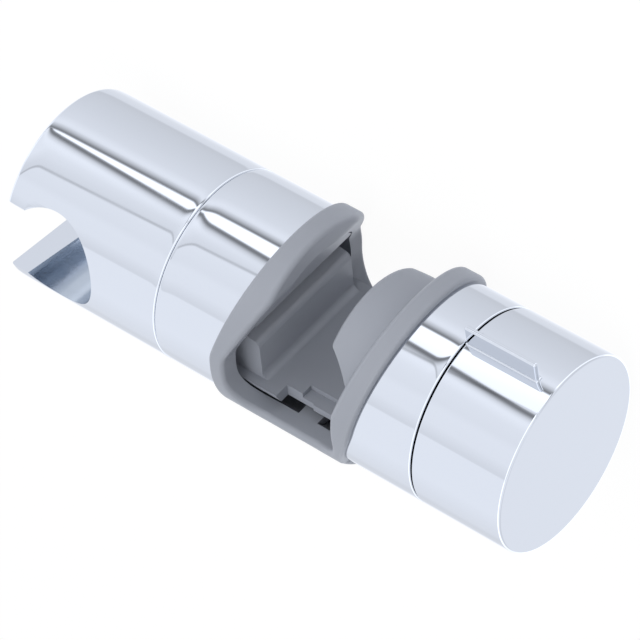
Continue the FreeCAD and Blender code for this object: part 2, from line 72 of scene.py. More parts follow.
# How far a piece sinks into the one that it joins.
SINK = 1 * MM
# Places nearer to each other than this are one place.
SAME_PLACE = 0.001 * MM
# How near a face's middle has to be to the socket's taper to belong to it.
ON_THE_TAPER = 0.05 * MM
# Sides of the round shapes, most where a large one is seen.
BODY_SIDES = 512
SLEEVE_SIDES = 384
SOCKET_SIDES = 320
HUB_SIDES = 192
RECESS_SIDES = 128
HOLE_SIDES = 64


# Sizes and colours that a user would change

def length(name, description, millimetres):
    return bpy.props.FloatProperty(
        name=name, description=description, default=millimetres * MM,
        unit="LENGTH", subtype="DISTANCE", precision=5)


def tilt(name, description, degrees):
    return bpy.props.FloatProperty(
        name=name, description=description, default=math.radians(degrees),
        unit="ROTATION", subtype="ANGLE")


def slope(name, description, rise):
    return bpy.props.FloatProperty(name=name, description=description, default=rise)


def hex_colour(name, description, text):
    return bpy.props.StringProperty(name=name, description=description, default=text)


class SliderSizes(bpy.types.PropertyGroup):
    """Sizes of the visible pieces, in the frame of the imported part."""

    body_radius: length("Body radius", "Outside of the chromed round body", 19.0)
    holder_wall: length("Holder wall", "Wall of the handset holder's cup", 2.4)
    holder_floor: length("Holder floor", "Place along X of the cup's inner floor", -40.9)
    edge_round: length("Edge round", "Rounding of the chromed outer edges", 0.5)
    seam_round: length("Seam round", "Rounding of the edges beside the two seams", 0.3)
    seam_close: length("Seam close", "How far each side of the left seam closes it", 0.09)
    far_slope: slope("Far slope", "Slope at which the holder's far end falls away", 0.08)
    far_reach: length("Far reach", "Length over which the holder's far end falls away", 4.0)
    seam_slope: slope("Seam slope", "Slope of the chromed ends beside the seams", 0.05)
    holder_reach: length("Holder reach", "Length over which the holder rises to its seam", 2.0)
    left_reach: length("Left reach", "Length over which the left sleeve falls to its seam", 4.0)
    right_reach: length("Right reach", "Length over which the right sleeve rises to its seam", 2.8)
    cut_round: length("Cut round", "Rounding where the socket and slot leave the holder", 0.4)
    socket_x: length("Socket place", "Place along X of the handset socket's axis", -53.4)
    socket_top: length("Socket top radius", "Radius of the socket at the top of the body", 10.1)
    socket_low: length("Socket low radius", "Radius of the socket at the bottom of the body", 8.6)
    slot_half: length("Half slot", "Half the width of the hose slot", 7.53)
    socket_lean: tilt("Socket lean", "How far the holder is tipped round the body", 7.0)
    recess_radius: length("Recess radius", "Recess for the swivel screw's head", 5.2)
    recess_x: length("Recess floor", "Place along X of the recess floor", -40.7)
    screw_hole: length("Screw hole", "Radius of the swivel screw's hole", 2.7)
    hub_radius: length("Hub radius", "Outside of the hub inside the holder", 10.53)
    hub_bore: length("Hub bore", "Bore of the hub inside the holder", 9.13)
    hub_end: length("Hub end", "Place along X of the hub's open end", -29.6)
    web_x: length("Web", "Place along X of the hub bore's floor", -38.3)
    sleeve_bore: length("Sleeve bore", "Inside of the two sleeves", 17.4)
    rim_gap: length("Rim gap", "Gap between a sleeve and the grey rim", 0.05)
    rim_left: length("Rim left", "Left side of the grey rim below its hook", -15.2)
    rim_hook_y: length("Rim hook", "Where the rim's left side starts to lean", 3.0)
    rim_left_top: length("Rim left top", "Left side of the rim at its top", -10.7)
    rim_right: length("Rim right", "Right side of the rim's foot", 11.0)
    rim_foot_y: length("Rim foot", "Where the rim's right side starts to lean", -12.0)
    rim_bend: length("Rim bend", "Right side of the rim at the middle of the body", 15.3)
    rim_right_top: length("Rim right top", "Right side of the rim at its top", 19.5)
    rim_top_y: length("Rim top", "Where the two top places of the rim's sides hold", 19.0)
    hook_bevel: length("Hook bevel", "Width of the rounding at the hook", 0.69)
    bend_bevel: length("Bend bevel", "Width of the rounding at the bend", 1.58)
    lip_radius: length("Lip radius", "Hole in the right sleeve's inner lip", 14.0)
    lip_thick: length("Lip", "Thickness of the right sleeve's inner lip", 1.05)
    knob_wall: length("Knob wall", "Wall of the knob's cap", 1.8)
    knob_end_wall: length("Knob end wall", "End wall of the knob's cap", 2.0)
    rib_tall: length("Rib height", "How far the grip rib stands out", 4.4)
    rib_thick: length("Rib thickness", "Thickness of the grip rib", 1.0)
    rib_round: length("Rib round", "Rounding of the grip rib's edges", 0.35)
    rib_length: length("Rib length", "Length of the grip rib along the knob", 14.9)
    rib_foot: length("Rib foot", "Width of the rounded foot along the rib", 0.3)
    foot_round: length("Foot round", "Rounding of the rib's foot", 0.27)
    rib_turn: tilt("Rib angle", "Angle of the grip rib round the knob", 5.4)


class SliderColours(bpy.types.PropertyGroup):
    """Colours of the finishes, as sRGB hex values."""

    chrome: hex_colour("Chrome", "Bright chrome plating", "DADDE2")
    socket: hex_colour("Socket chrome", "Duller plating inside the handset socket", "C0C8D2")
    grey: hex_colour("Grey plastic", "Moulded satin grey plastic", "8E929B")
    grey_cloud: hex_colour("Grey cloud", "Darker clouds in the grey plastic", "878B94")
    acetal: hex_colour("Acetal", "Natural off-white plastic of the inner parts", "E6E3DA")
    acetal_cloud: hex_colour("Acetal cloud", "Darker clouds in the off-white plastic", "DAD6CB")
    steel: hex_colour("Steel", "Plain stainless steel", "A9AAAC")
    brass: hex_colour("Brass", "Plain brass of the nut", "C39A52")
    floor: hex_colour("Floor", "Pale studio floor", "FBFBFC")


# Materials

def linear(text):
    """Linear colour with alpha from an sRGB hex value."""
    shares = [int(text[index:index + 2], 16) / 255 for index in (0, 2, 4)]
    return tuple(share / 12.92 if share <= 0.04045 else ((share + 0.055) / 1.055) ** 2.4
                 for share in shares) + (1.0,)


def put(tree, kind, links=(), **settings):
    """Adds a node with its settings. Each link is a node, its output and this node's input, or
    a fixed value and this node's input."""
    node = tree.nodes.new(kind)
    for name, value in settings.items():
        if hasattr(node, name):
            setattr(node, name, value)
        else:
            node.inputs[name.replace("_", " ")].default_value = value
    for *source, target in links:
        if len(source) == 2:
            tree.links.new(source[0].outputs[source[1]], node.inputs[target])
        else:
            node.inputs[target].default_value = source[0]
    return node


def new_material(name):
    material = bpy.data.materials.new(name)
    material.use_nodes = True
    material.node_tree.nodes.clear()
    return material, material.node_tree


def finish_material(tree, shader):
    put(tree, "ShaderNodeOutputMaterial", [(shader, "BSDF", "Surface")])


def set_ramp(node, stops):
    """Fills a colour ramp from (place, grey level) pairs."""
    elements = node.color_ramp.elements
    while len(elements) < len(stops):
        elements.new(0.5)
    for element, (place, level) in zip(elements, stops):
        element.position = place
        element.color = (level, level, level, 1.0)


def chrome_on_plastic(name, colour, roughness):
    """Bright chrome plating on moulded plastic. The eye sees sharp reflections that waver a
    little over the moulding, with a faint haze where hands have wiped it."""
    material, tree = new_material(name)
    place = put(tree, "ShaderNodeTexCoord")
    # Mould sink and flow lines: waves about 15 mm apart and about a micron deep.
    waves = put(tree, "ShaderNodeTexNoise", [(place, "Object", "Vector")],
                Scale=1 / (15.4 * MM), Detail=1.0)
    bump = put(tree, "ShaderNodeBump", [(waves, "Fac", "Height")],
               Strength=0.04, Distance=0.02 * MM)
    # Wiped haze: soft patches about 9 mm across with finer ones in them.
    haze = put(tree, "ShaderNodeTexNoise", [(place, "Object", "Vector")],
               Scale=1 / (9.1 * MM), Detail=5.0)
    rough = put(tree, "ShaderNodeMapRange", [(haze, "Fac", "Value")],
                From_Min=0.35, From_Max=0.75, To_Min=roughness, To_Max=roughness * 2.4)
    shader = put(tree, "ShaderNodeBsdfPrincipled",
                 [(bump, "Normal", "Normal"), (rough, "Result", "Roughness")],
                 Base_Color=linear(colour), Metallic=1.0)
    finish_material(tree, shader)
    return material


def satin_plastic(name, colour, dark, grain, roughness):
    """Moulded plastic with a satin spark-eroded grain, of the size given in millimetres. The
    eye sees a soft sheen, a fine even grain and slightly cloudy colour."""
    material, tree = new_material(name)
    place = put(tree, "ShaderNodeTexCoord")
    # Clouds about 11 mm across, from the pigment's flow.
    cloud = put(tree, "ShaderNodeTexNoise", [(place, "Object", "Vector")],
                Scale=1 / (11.1 * MM), Detail=4.0)
    tone = put(tree, "ShaderNodeMix", [(cloud, "Fac", "Factor")],
               data_type="RGBA", A=linear(dark), B=linear(colour))
    # Grain of the mould, drawn at about 0.3 mm so that it shows at all.
    fine = put(tree, "ShaderNodeTexNoise", [(place, "Object", "Vector")],
               Scale=1 / (grain * MM), Detail=2.0)
    bump = put(tree, "ShaderNodeBump", [(fine, "Fac", "Height")],
               Strength=0.25, Distance=0.02 * MM)
    rough = put(tree, "ShaderNodeMapRange", [(cloud, "Fac", "Value")],
                To_Min=roughness - 0.05, To_Max=roughness + 0.07)
    shader = put(tree, "ShaderNodeBsdfPrincipled",
                 [(tone, "Result", "Base Color"), (bump, "Normal", "Normal"),
                  (rough, "Result", "Roughness")], IOR=1.52)
    finish_material(tree, shader)
    return material


def turned_metal(name, colour, roughness):
    """Turned or stamped bare metal of the inner parts. The eye sees fine grain and a soft
    shine."""
    material, tree = new_material(name)
    place = put(tree, "ShaderNodeTexCoord")
    # Tool marks, drawn about 0.7 mm apart, coarser than real ones.
    marks = put(tree, "ShaderNodeTexNoise", [(place, "Object", "Vector")],
                Scale=1 / (0.714 * MM), Detail=2.0)
    bump = put(tree, "ShaderNodeBump", [(marks, "Fac", "Height")],
               Strength=0.2, Distance=0.01 * MM)
    rough = put(tree, "ShaderNodeMapRange", [(marks, "Fac", "Value")],
                To_Min=roughness - 0.06, To_Max=roughness + 0.08)
    shader = put(tree, "ShaderNodeBsdfPrincipled",
                 [(bump, "Normal", "Normal"), (rough, "Result", "Roughness")],
                 Base_Color=linear(colour), Metallic=1.0)
    finish_material(tree, shader)
    return material


def material_named(name, maker, **settings):
    return bpy.data.materials.get(name) or maker(name, **settings)


def chrome():
    colours = bpy.context.scene.slider_colours
    return material_named("bright_chrome_on_moulded_abs", chrome_on_plastic,
                          colour=colours.chrome, roughness=0.025)


def socket_chrome():
    """Thinner, duller plating down in the handset socket."""
    colours = bpy.context.scene.slider_colours
    return material_named("dull_chrome_in_the_socket", chrome_on_plastic,
                          colour=colours.socket, roughness=0.14)


def grey_plastic():
    colours = bpy.context.scene.slider_colours
    return material_named("satin_grey_moulded_abs", satin_plastic, colour=colours.grey,
                          dark=colours.grey_cloud, grain=0.3125, roughness=0.42)


# Modelling

def deselect():
    if bpy.context.object and bpy.context.object.mode != "OBJECT":
        bpy.ops.object.mode_set(mode="OBJECT")
    bpy.ops.object.select_all(action="DESELECT")


def only(piece):
    deselect()
    piece.select_set(True)
    bpy.context.view_layer.objects.active = piece


def placed(name):
    """Names the new primitive and moves its place into its mesh."""
    piece = bpy.context.active_object
    piece.name = name
    piece.data.name = name
    bpy.ops.object.transform_apply(location=True, rotation=True, scale=True)
    return piece


def round_bar(name, radius, start, end, sides=SLEEVE_SIDES):
    """Round bar along X."""
    deselect()
    bpy.ops.mesh.primitive_cylinder_add(
        vertices=sides, radius=radius, depth=end - start,
        location=((start + end) / 2, 0, 0), rotation=ALONG_X)
    return placed(name)


def block(name, low, high):
    """Box between two corners."""
    deselect()
    low, high = Vector(low), Vector(high)
    bpy.ops.mesh.primitive_cube_add(size=1, location=(low + high) / 2, scale=high - low)
    return placed(name)


def choose_edges(piece, test):
    """Selects, in edit mode, the edges whose two ends pass the test."""
    only(piece)
    mesh = piece.data
    for edge in mesh.edges:
        edge.select = all(test(mesh.vertices[index].co) for index in edge.vertices)
    for vertex in mesh.vertices:
        vertex.select = test(vertex.co)
    for face in mesh.polygons:
        face.select = all(mesh.vertices[index].select for index in face.vertices)
    bpy.ops.object.mode_set(mode="EDIT")
    bpy.ops.mesh.select_mode(type="EDGE")


def round_end(piece, x, round_size, steps=4):
    """Rounds the loop of edges at one end of a bar."""
    choose_edges(piece, lambda co: abs(co.x - x) < SAME_PLACE)
    bpy.ops.mesh.bevel(offset=round_size, segments=steps, affect="EDGES")
    bpy.ops.object.mode_set(mode="OBJECT")


def slice_off(piece, point, normal, clear=True):
    """Cuts a piece on a plane and clears the side that the normal points away from."""
    only(piece)
    bpy.ops.object.mode_set(mode="EDIT")
    bpy.ops.mesh.select_all(action="SELECT")
    bpy.ops.mesh.bisect(plane_co=point, plane_no=normal, use_fill=clear, clear_inner=clear)
    bpy.ops.object.mode_set(mode="OBJECT")


def shape_end(piece, x, inwards, steepest, reach, rings=12):
    """Lets a chromed round bar fall away towards its end at x, up to the slope given. With a
    negative slope it rises instead. The fall grows with the cube of the way to the end."""
    for ring in range(1, rings + 1):
        slice_off(piece, (x + inwards * reach * ring / rings, 0, 0), (1, 0, 0), clear=False)
    for vertex in piece.data.vertices:
        share = max(0, 1 - (vertex.co.x - x) * inwards / reach) ** 3
        fall = steepest * reach / 3 * share
        radius = math.hypot(vertex.co.y, vertex.co.z)
        if radius > 0:
            vertex.co.y *= 1 - fall / radius
            vertex.co.z *= 1 - fall / radius


def boolean(piece, other, operation):
    only(piece)
    change = piece.modifiers.new(operation.lower(), "BOOLEAN")
    change.operation = operation
    change.object = other
    change.solver = "EXACT"
    bpy.ops.object.modifier_apply(modifier=change.name)
    bpy.data.objects.remove(other)


def take_away(piece, *cutters):
    for cutter in cutters:
        boolean(piece, cutter, "DIFFERENCE")


def ease_sharp_edges(piece, round_size, steps=3, angle=50):
    """Rounds every edge sharper than the angle."""
    only(piece)
    bevel = piece.modifiers.new("eased_edges", "BEVEL")
    bevel.width = round_size
    bevel.segments = steps
    bevel.limit_method = "ANGLE"
    bevel.angle_limit = math.radians(angle)
    bevel.use_clamp_overlap = True
    bevel.miter_outer = "MITER_ARC"
    bpy.ops.object.modifier_apply(modifier=bevel.name)


def shade(piece, angle=35):
    """Smooth shading that follows the large faces."""
    only(piece)
    bpy.ops.object.shade_smooth_by_angle(angle=math.radians(angle))
    weighted = piece.modifiers.new("weighted_normals", "WEIGHTED_NORMAL")
    weighted.keep_sharp = True
    weighted.weight = 90
    bpy.ops.object.modifier_apply(modifier=weighted.name)


def dress(node, material):
    """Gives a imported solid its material."""
    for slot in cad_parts[node].material_slots:
        slot.material = material


def give(piece, material, body, slot, *nodes):
    """Finishes a piece: material, body it rides on and the nodes it stands for. The slot is not
    used.
    """
    piece.data.materials.clear()
    piece.data.materials.append(material)
    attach(piece, body)
    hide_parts(*nodes)


# Pieces

class SLIDER_OT_holder(bpy.types.Operator):
    """Models the chromed handset holder with its tapered socket and hose slot"""

    bl_idname = "slider.holder"
    bl_label = "Handset holder"

    def execute(self, context):
        sizes = context.scene.slider_sizes
        low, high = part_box("handset_holder")
        radius = sizes.body_radius
        seam = high.x + sizes.seam_close
        shell = round_bar("chromed_handset_holder", radius, low.x, seam, BODY_SIDES)
        round_end(shell, low.x, sizes.edge_round)
        round_end(shell, seam, sizes.seam_round)
        shape_end(shell, low.x, 1, sizes.far_slope, sizes.far_reach)
        shape_end(shell, seam, -1, -sizes.seam_slope, sizes.holder_reach)
        take_away(shell, round_bar("hollow", radius - sizes.holder_wall, sizes.holder_floor, 0))
        root = sizes.holder_floor - SINK
        boolean(shell, round_bar("hub", sizes.hub_radius, root, sizes.hub_end, HUB_SIDES), "UNION")
        taper = (sizes.socket_top - sizes.socket_low) / 2 / radius
        take_away(
            shell, *self.socket_and_slot(sizes, low.x, taper),
            round_bar("recess", sizes.recess_radius, sizes.socket_x, sizes.recess_x, RECESS_SIDES),
            round_bar("hole", sizes.screw_hole, sizes.socket_x, 0, HOLE_SIDES),
            round_bar("bore", sizes.hub_bore, sizes.web_x, 0, HUB_SIDES))
        ease_sharp_edges(shell, sizes.cut_round)
        shade(shell)
        give(shell, chrome(), "holder", "chrome_plate", "handset_holder")
        self.dull_the_socket(shell, sizes, taper)
        return {"FINISHED"}

    def socket_and_slot(self, sizes, end, taper):
        """The cutters for the handset's tapered socket and the hose slot out of its end."""
        reach = sizes.body_radius * CUT_REACH
        past = taper * (reach - sizes.body_radius)
        deselect()
        bpy.ops.mesh.primitive_cone_add(
            vertices=SOCKET_SIDES, depth=reach * 2, location=(sizes.socket_x, 0, 0),
            rotation=(-sizes.socket_lean, 0, 0),
            radius1=sizes.socket_low - past, radius2=sizes.socket_top + past)
        socket = placed("socket")
        slot = block("slot", (end - reach, -sizes.slot_half, -reach),
                     (sizes.socket_x, sizes.slot_half, reach))
        slot.rotation_euler.x = -sizes.socket_lean
        return socket, slot

    def dull_the_socket(self, shell, sizes, taper):
        """Gives the faces of the tapered socket their duller plating."""
        shell.data.materials.append(socket_chrome())
        upright = Vector((0, math.sin(sizes.socket_lean), math.cos(sizes.socket_lean)))
        middle = (sizes.socket_top + sizes.socket_low) / 2
        for face in shell.data.polygons:
            out = face.center - Vector((sizes.socket_x, 0, 0))
            along = out.dot(upright)
            across = (out - upright * along).length
            if abs(across - middle - taper * along) < ON_THE_TAPER:
                face.material_index = 1


class SLIDER_OT_sleeves(bpy.types.Operator):
    """Models the two chromed sleeves beside the grey rim"""

    bl_idname = "slider.sleeves"
    bl_label = "Chromed sleeves"

    def execute(self, context):
        sizes = context.scene.slider_sizes
        self.left(sizes)
        self.right(sizes)
        return {"FINISHED"}

    def left(self, sizes):
        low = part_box("left_sleeve")[0]
        gap = sizes.rim_gap
        seam = low.x - sizes.seam_close
        tube = round_bar("chromed_left_sleeve", sizes.body_radius, seam, 0)
        round_end(tube, seam, sizes.seam_round)
        shape_end(tube, seam, 1, sizes.seam_slope, sizes.left_reach)
        take_away(tube, round_bar("inside", sizes.sleeve_bore, low.x - FAR, FAR))
        plan = block("rim_plan", (sizes.rim_left - gap, -FAR, -FAR), (FAR, FAR, FAR))
        foot = Vector((sizes.rim_left - gap, sizes.rim_hook_y, 0))
        self.lean(plan, foot, Vector((sizes.rim_left_top - gap, sizes.rim_top_y, 0)), 1)
        self.ease_corner(plan, foot, sizes.hook_bevel)
        take_away(tube, plan)
        shade(tube)
        give(tube, chrome(), "saddle", "chrome_plate", "left_sleeve")

    def right(self, sizes):
        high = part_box("right_sleeve")[1]
        gap = sizes.rim_gap
        tube = round_bar("chromed_right_sleeve", sizes.body_radius, 0, high.x)
        round_end(tube, high.x, sizes.seam_round)
        shape_end(tube, high.x, -1, -sizes.seam_slope, sizes.right_reach)
        lip = high.x - sizes.lip_thick
        take_away(tube, round_bar("inside", sizes.sleeve_bore, -FAR, lip),
                  round_bar("lip_hole", sizes.lip_radius, 0, high.x + FAR))
        foot = Vector((sizes.rim_right + gap, sizes.rim_foot_y, 0))
        bend = Vector((sizes.rim_bend + gap, 0, 0))
        plan = block("rim_plan", (-FAR, -FAR, -FAR), (FAR, FAR, FAR))
        self.lean(plan, foot, bend, -1)
        self.lean(plan, bend, Vector((sizes.rim_right_top + gap, sizes.rim_top_y, 0)), -1)
        self.ease_corner(plan, bend, sizes.bend_bevel)
        below = block("rim_plan_below", (-FAR, -FAR, -FAR), (foot.x, FAR, FAR))
        take_away(tube, plan, below)
        shade(tube)
        give(tube, chrome(), "saddle", "chrome_plate", "right_sleeve")

    def lean(self, plan, start, end, side):
        """Cuts the plan along the line from start to end and keeps its right or left side."""
        along = (end - start).normalized()
        slice_off(plan, start, Vector((along.y, -along.x, 0)) * side)

    def ease_corner(self, plan, corner, width, steps=6):
        """Rounds the upright edge of the plan at the corner."""
        choose_edges(plan, lambda co: math.hypot(co.x - corner.x, co.y - corner.y) < SAME_PLACE)
        bpy.ops.mesh.bevel(offset=width, segments=steps, affect="EDGES")
        bpy.ops.object.mode_set(mode="OBJECT")


class SLIDER_OT_knob(bpy.types.Operator):
    """Models the chromed knob with its thin grip rib"""

    bl_idname = "slider.knob"
    bl_label = "Knob"

    def execute(self, context):
        sizes = context.scene.slider_sizes
        low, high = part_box("knob")
        radius = sizes.body_radius
        cap = round_bar("chromed_knob", radius, low.x, high.x, BODY_SIDES)
        round_end(cap, high.x, sizes.edge_round)
        round_end(cap, low.x, sizes.seam_round)
        inner = high.x - sizes.knob_end_wall
        take_away(cap, round_bar("inside", radius - sizes.knob_wall, low.x - FAR, inner))
        boolean(cap, self.rib(sizes, low.x), "UNION")
        shade(cap)
        give(cap, chrome(), "knob", "chrome_plate", "knob")
        return {"FINISHED"}

    def rib(self, sizes, start):
        """The thin grip rib with its rounded foot, turned to its place round the knob."""
        radius = sizes.body_radius
        root = radius - sizes.knob_wall / 2
        half = sizes.rib_thick / 2
        end = start + sizes.rib_length
        rib = block("rib", (start, root, -half), (end, radius + sizes.rib_tall, half))
        ease_sharp_edges(rib, sizes.rib_round)
        foot = block("rib_foot", (start, root, -half - sizes.rib_foot),
                     (end + sizes.rib_foot, radius + sizes.rib_foot, half + sizes.rib_foot))
        ease_sharp_edges(foot, sizes.foot_round)
        boolean(rib, foot, "UNION")
        only(rib)
        bpy.ops.transform.rotate(value=-sizes.rib_turn, orient_axis="X", center_override=(0, 0, 0))
        placed("rib")
        self.check_rib(rib, sizes)
        return rib

    def check_rib(self, rib, sizes, close=0.01):
        """The rib has to lean towards +Z."""
        corners = rib.data.vertices
        middle = sum((corner.co for corner in corners), Vector()) / len(corners)
        wanted = math.tan(sizes.rib_turn)
        if abs(middle.z / middle.y - wanted) > close:
            raise RuntimeError(f"the rib leans by {middle.z / middle.y:.3f}, not {wanted:.3f}")


class SLIDER_OT_grey_mouldings(bpy.types.Operator):
    """Gives the grey saddle, liner and jaw their satin plastic"""

    bl_idname = "slider.grey_mouldings"
    bl_label = "Grey mouldings"

    def execute(self, context):
        for node in ("rail_saddle", "rail_liner", "clamp_jaw"):
            dress(node, grey_plastic())
        return {"FINISHED"}


class SLIDER_OT_inner_parts(bpy.types.Operator):
    """Gives the hidden plastic and metal parts their finishes"""

    bl_idname = "slider.inner_parts"
    bl_label = "Inner parts"

    def execute(self, context):
        colours = context.scene.slider_colours
        acetal = satin_plastic("natural_acetal", colours.acetal, colours.acetal_cloud,
                               grain=0.3333, roughness=0.4)
        steel = turned_metal("stainless_steel", colours.steel, roughness=0.28)
        brass = turned_metal("plain_brass", colours.brass, roughness=0.3)
        for node in ("swivel_bush", "bearing_plate", "knob_core"):
            dress(node, acetal)
        for node in ("holder_screw", "screw_washer", "disc_spring", "thrust_washer",
                     "retaining_clip"):
            dress(node, steel)
        dress("swivel_nut", brass)
        return {"FINISHED"}


# Studio

# Settings of a Mix node that multiplies two colours.
TIMES = {"data_type": "RGBA", "blend_type": "MULTIPLY", "Factor": 1.0}
# One degree as a share of a full turn.
DEGREE = 1 / 360
WHITE = (1.0, 1.0, 1.0, 1.0)


class SLIDER_OT_studio(bpy.types.Operator):
    """Sets the pale floor, the soft lights, the tent that the chrome mirrors and the camera"""

    bl_idname = "slider.studio"
    bl_label = "Studio"

    # The floor's size, how far it lies below the object, and how much of what the camera sees
    # of it is plain white.
    floor_size = 3.0
    floor_gap = 0.1 * MM
    floor_glow = 0.95

    # How the window's two borders and the thin seam shift round X, as shares of a turn, with
    # the mirrored direction's part along X.
    upper_border = {
        "From_Min": -0.52, "From_Max": -0.475, "To_Min": 3.5 * DEGREE, "To_Max": 0.0}
    lower_border = {
        "From_Min": -0.52, "From_Max": -0.40, "To_Min": -5 * DEGREE, "To_Max": 14.5 * DEGREE}
    thin_seam = {
        "From_Min": -0.62, "From_Max": -0.40, "To_Min": -22 * DEGREE, "To_Max": 22 * DEGREE}
    # Where the window lies along X and half its length.
    window_middle = -0.4535
    window_half = 0.1485
    # How far below +Y the window's borders meet at its two ends.
    window_close = 18 * DEGREE
    # The window's levels set in between these two angles, in degrees.
    window_edge = (-14.3, -13.6)
    # Angle round X in degrees and how bright the tent is there.
    wall_levels = (
        (-180, 0.75), (-168, 0.73), (-158, 0.87), (-142, 0.90), (-128, 0.87), (-118, 0.82),
        (-103, 0.82), (-99, 0.68), (-84, 0.735), (-56, 0.80), (-36, 0.86), (-27, 0.96),
        (-24, 0.94), (-20, 0.66), (-17, 0.38), (-16.3, 0.23), (-14.4, 0.23), (-13.6, 0.97),
        (20, 0.97), (36, 0.92), (48, 0.90), (56, 0.94), (72, 0.93), (80, 0.87), (87, 0.81),
        (88.5, 0.95), (136, 0.95), (152, 0.90), (172, 0.83), (180, 0.75))
    # Angle from the middle of the window's lower border, and what it makes of the wall.
    window_levels = (
        (-180, 1.42), (-3.0, 1.42), (-1.9, 0.6), (-1.1, 0.25), (1.2, 0.24), (2.2, 0.34),
        (3.2, 0.47), (5, 0.76), (7, 0.9), (9.5, 1.03), (12, 1.05), (20, 1.0), (180, 1.0))
    # Angle from the tent's thin seam, and what it makes of the wall.
    seam_levels = (
        (-180, 1.0), (8, 1.0), (24, 0.9), (31.6, 0.88), (32.4, 0.6), (33.6, 0.6), (34.4, 1.0),
        (180, 1.0))
    # Direction along X, and what it makes of the wall for rounded edges and the end face.
    end_levels = (
        (-1.0, 1.25), (-0.8, 1.25), (-0.7, 1.0), (-0.28, 1.0), (-0.2, 1.6), (0.2, 1.6),
        (0.35, 1.0), (1.0, 1.0))
    # Cool tint of the tent, how bright it is in mirrors, and its plain light on the object.
    tent_tint = (0.95, 0.985, 1.06, 1.0)
    mirror_strength = 1.15
    light_strength = 0.75

    # Name, place in metres, size in metres and power in watts of each soft lamp.
    soft_lamps = (
        ("broad_lamp_above", (0.15, 0.35, 0.9), 0.8, 4.0),
        ("broad_lamp_left", (-0.6, 0.5, 0.4), 0.6, 2.0))

    # The camera's place in metres, right and forward directions, and lens and film in mm.
    camera_place = (0.32114, 0.54302, 0.35264)
    camera_right = (0.7809, -0.0676, -0.6209)
    camera_forward = (-0.4512, -0.7485, -0.4859)
    camera_lens = 231.2
    camera_film = 36.0

    def execute(self, context):
        self.floor(context)
        self.tent(context)
        self.lamps()
        self.camera(context)
        context.scene.view_settings.view_transform = "Standard"
        return {"FINISHED"}

    def floor(self, context):
        """White paper that glows for the camera and still takes a soft shadow."""
        deselect()
        bpy.ops.mesh.primitive_plane_add(
            size=self.floor_size, location=(0, 0, CAD_BOX[0].z - self.floor_gap))
        plane = placed("studio_floor")
        material, tree = new_material("pale_paper_floor")
        colour = linear(context.scene.slider_colours.floor)
        paper = put(tree, "ShaderNodeBsdfDiffuse", Color=colour)
        glow = put(tree, "ShaderNodeEmission", Color=WHITE, Strength=1.0)
        path = put(tree, "ShaderNodeLightPath")
        share = put(tree, "ShaderNodeMath", [(path, "Is Camera Ray", 0), (self.floor_glow, 1)],
                    operation="MULTIPLY")
        mixed = put(tree, "ShaderNodeMixShader", [
            (share, "Value", "Fac"), (paper, "BSDF", 1), (glow, "Emission", 2)])
        put(tree, "ShaderNodeOutputMaterial", [(mixed, "Shader", "Surface")])
        plane.data.materials.append(material)
        plane.visible_glossy = False

    def tent(self, context):
        """A pale tent whose seams and window strip run along X, which the chrome mirrors."""
        world = bpy.data.worlds.new("light_tent")
        world.use_nodes = True
        context.scene.world = world
        tree = world.node_tree
        tree.nodes.clear()
        place = put(tree, "ShaderNodeTexCoord")
        split = put(tree, "ShaderNodeSeparateXYZ", [(place, "Generated", "Vector")])
        # Angle round X, from +Y towards +Z, as a share of a full turn from -180 degrees.
        radians = put(tree, "ShaderNodeMath", [(split, "Z", 0), (split, "Y", 1)],
                      operation="ARCTAN2")
        share = put(tree, "ShaderNodeMapRange", [(radians, "Value", "Value")],
                    From_Min=-math.pi, From_Max=math.pi)
        walls = self.walls_with_window(tree, split, share)
        seam = self.seam(tree, split, share)
        ends = self.ends(tree, split)
        seamed = put(tree, "ShaderNodeMix", [(walls, "Result", "A"), (seam, "Color", "B")],
                     **TIMES)
        ended = put(tree, "ShaderNodeMix", [(seamed, "Result", "A"), (ends, "Color", "B")],
                    **TIMES)
        tinted = put(tree, "ShaderNodeMix", [(ended, "Result", "A")], **TIMES, B=self.tent_tint)
        self.backgrounds(tree, tinted)

    def walls_with_window(self, tree, split, share):
        """The tent's walls, and in them the bright window strip with its dark borders."""
        # Towards the far end of the holder the window's upper border comes a little lower.
        shift = put(tree, "ShaderNodeMapRange", [(split, "X", "Value")], **self.upper_border)
        wall_share = put(tree, "ShaderNodeMath", [(share, "Result", 0), (shift, "Result", 1)],
                         operation="SUBTRACT")
        walls = put(tree, "ShaderNodeValToRGB", [(wall_share, "Value", "Fac")])
        set_ramp(walls, self.over_angle(self.wall_levels))
        window = self.window(tree, split, share)
        lit = put(tree, "ShaderNodeMix", [(walls, "Color", "A"), (window, "Color", "B")], **TIMES)
        first, last = self.window_edge
        gate = put(tree, "ShaderNodeMapRange", [(wall_share, "Value", "Value")],
                   From_Min=self.turn(first), From_Max=self.turn(last))
        return put(tree, "ShaderNodeMix", [
            (gate, "Result", "Factor"), (walls, "Color", "A"), (lit, "Result", "B")],
            data_type="RGBA")

    def window(self, tree, split, share):
        """Levels of the window, whose lower border leans so that it widens towards the knob."""
        lean = put(tree, "ShaderNodeMapRange", [(split, "X", "Value")], **self.lower_border)
        lift = self.window_lift(tree, split, lean)
        upright = put(tree, "ShaderNodeMath", [(share, "Result", 0), (lean, "Result", 1)],
                      operation="SUBTRACT")
        leaning = put(tree, "ShaderNodeMath", [(upright, "Value", 0), (lift, "Value", 1)],
                      operation="ADD")
        window = put(tree, "ShaderNodeValToRGB", [(leaning, "Value", "Fac")])
        set_ramp(window, self.over_angle(self.window_levels))
        return window

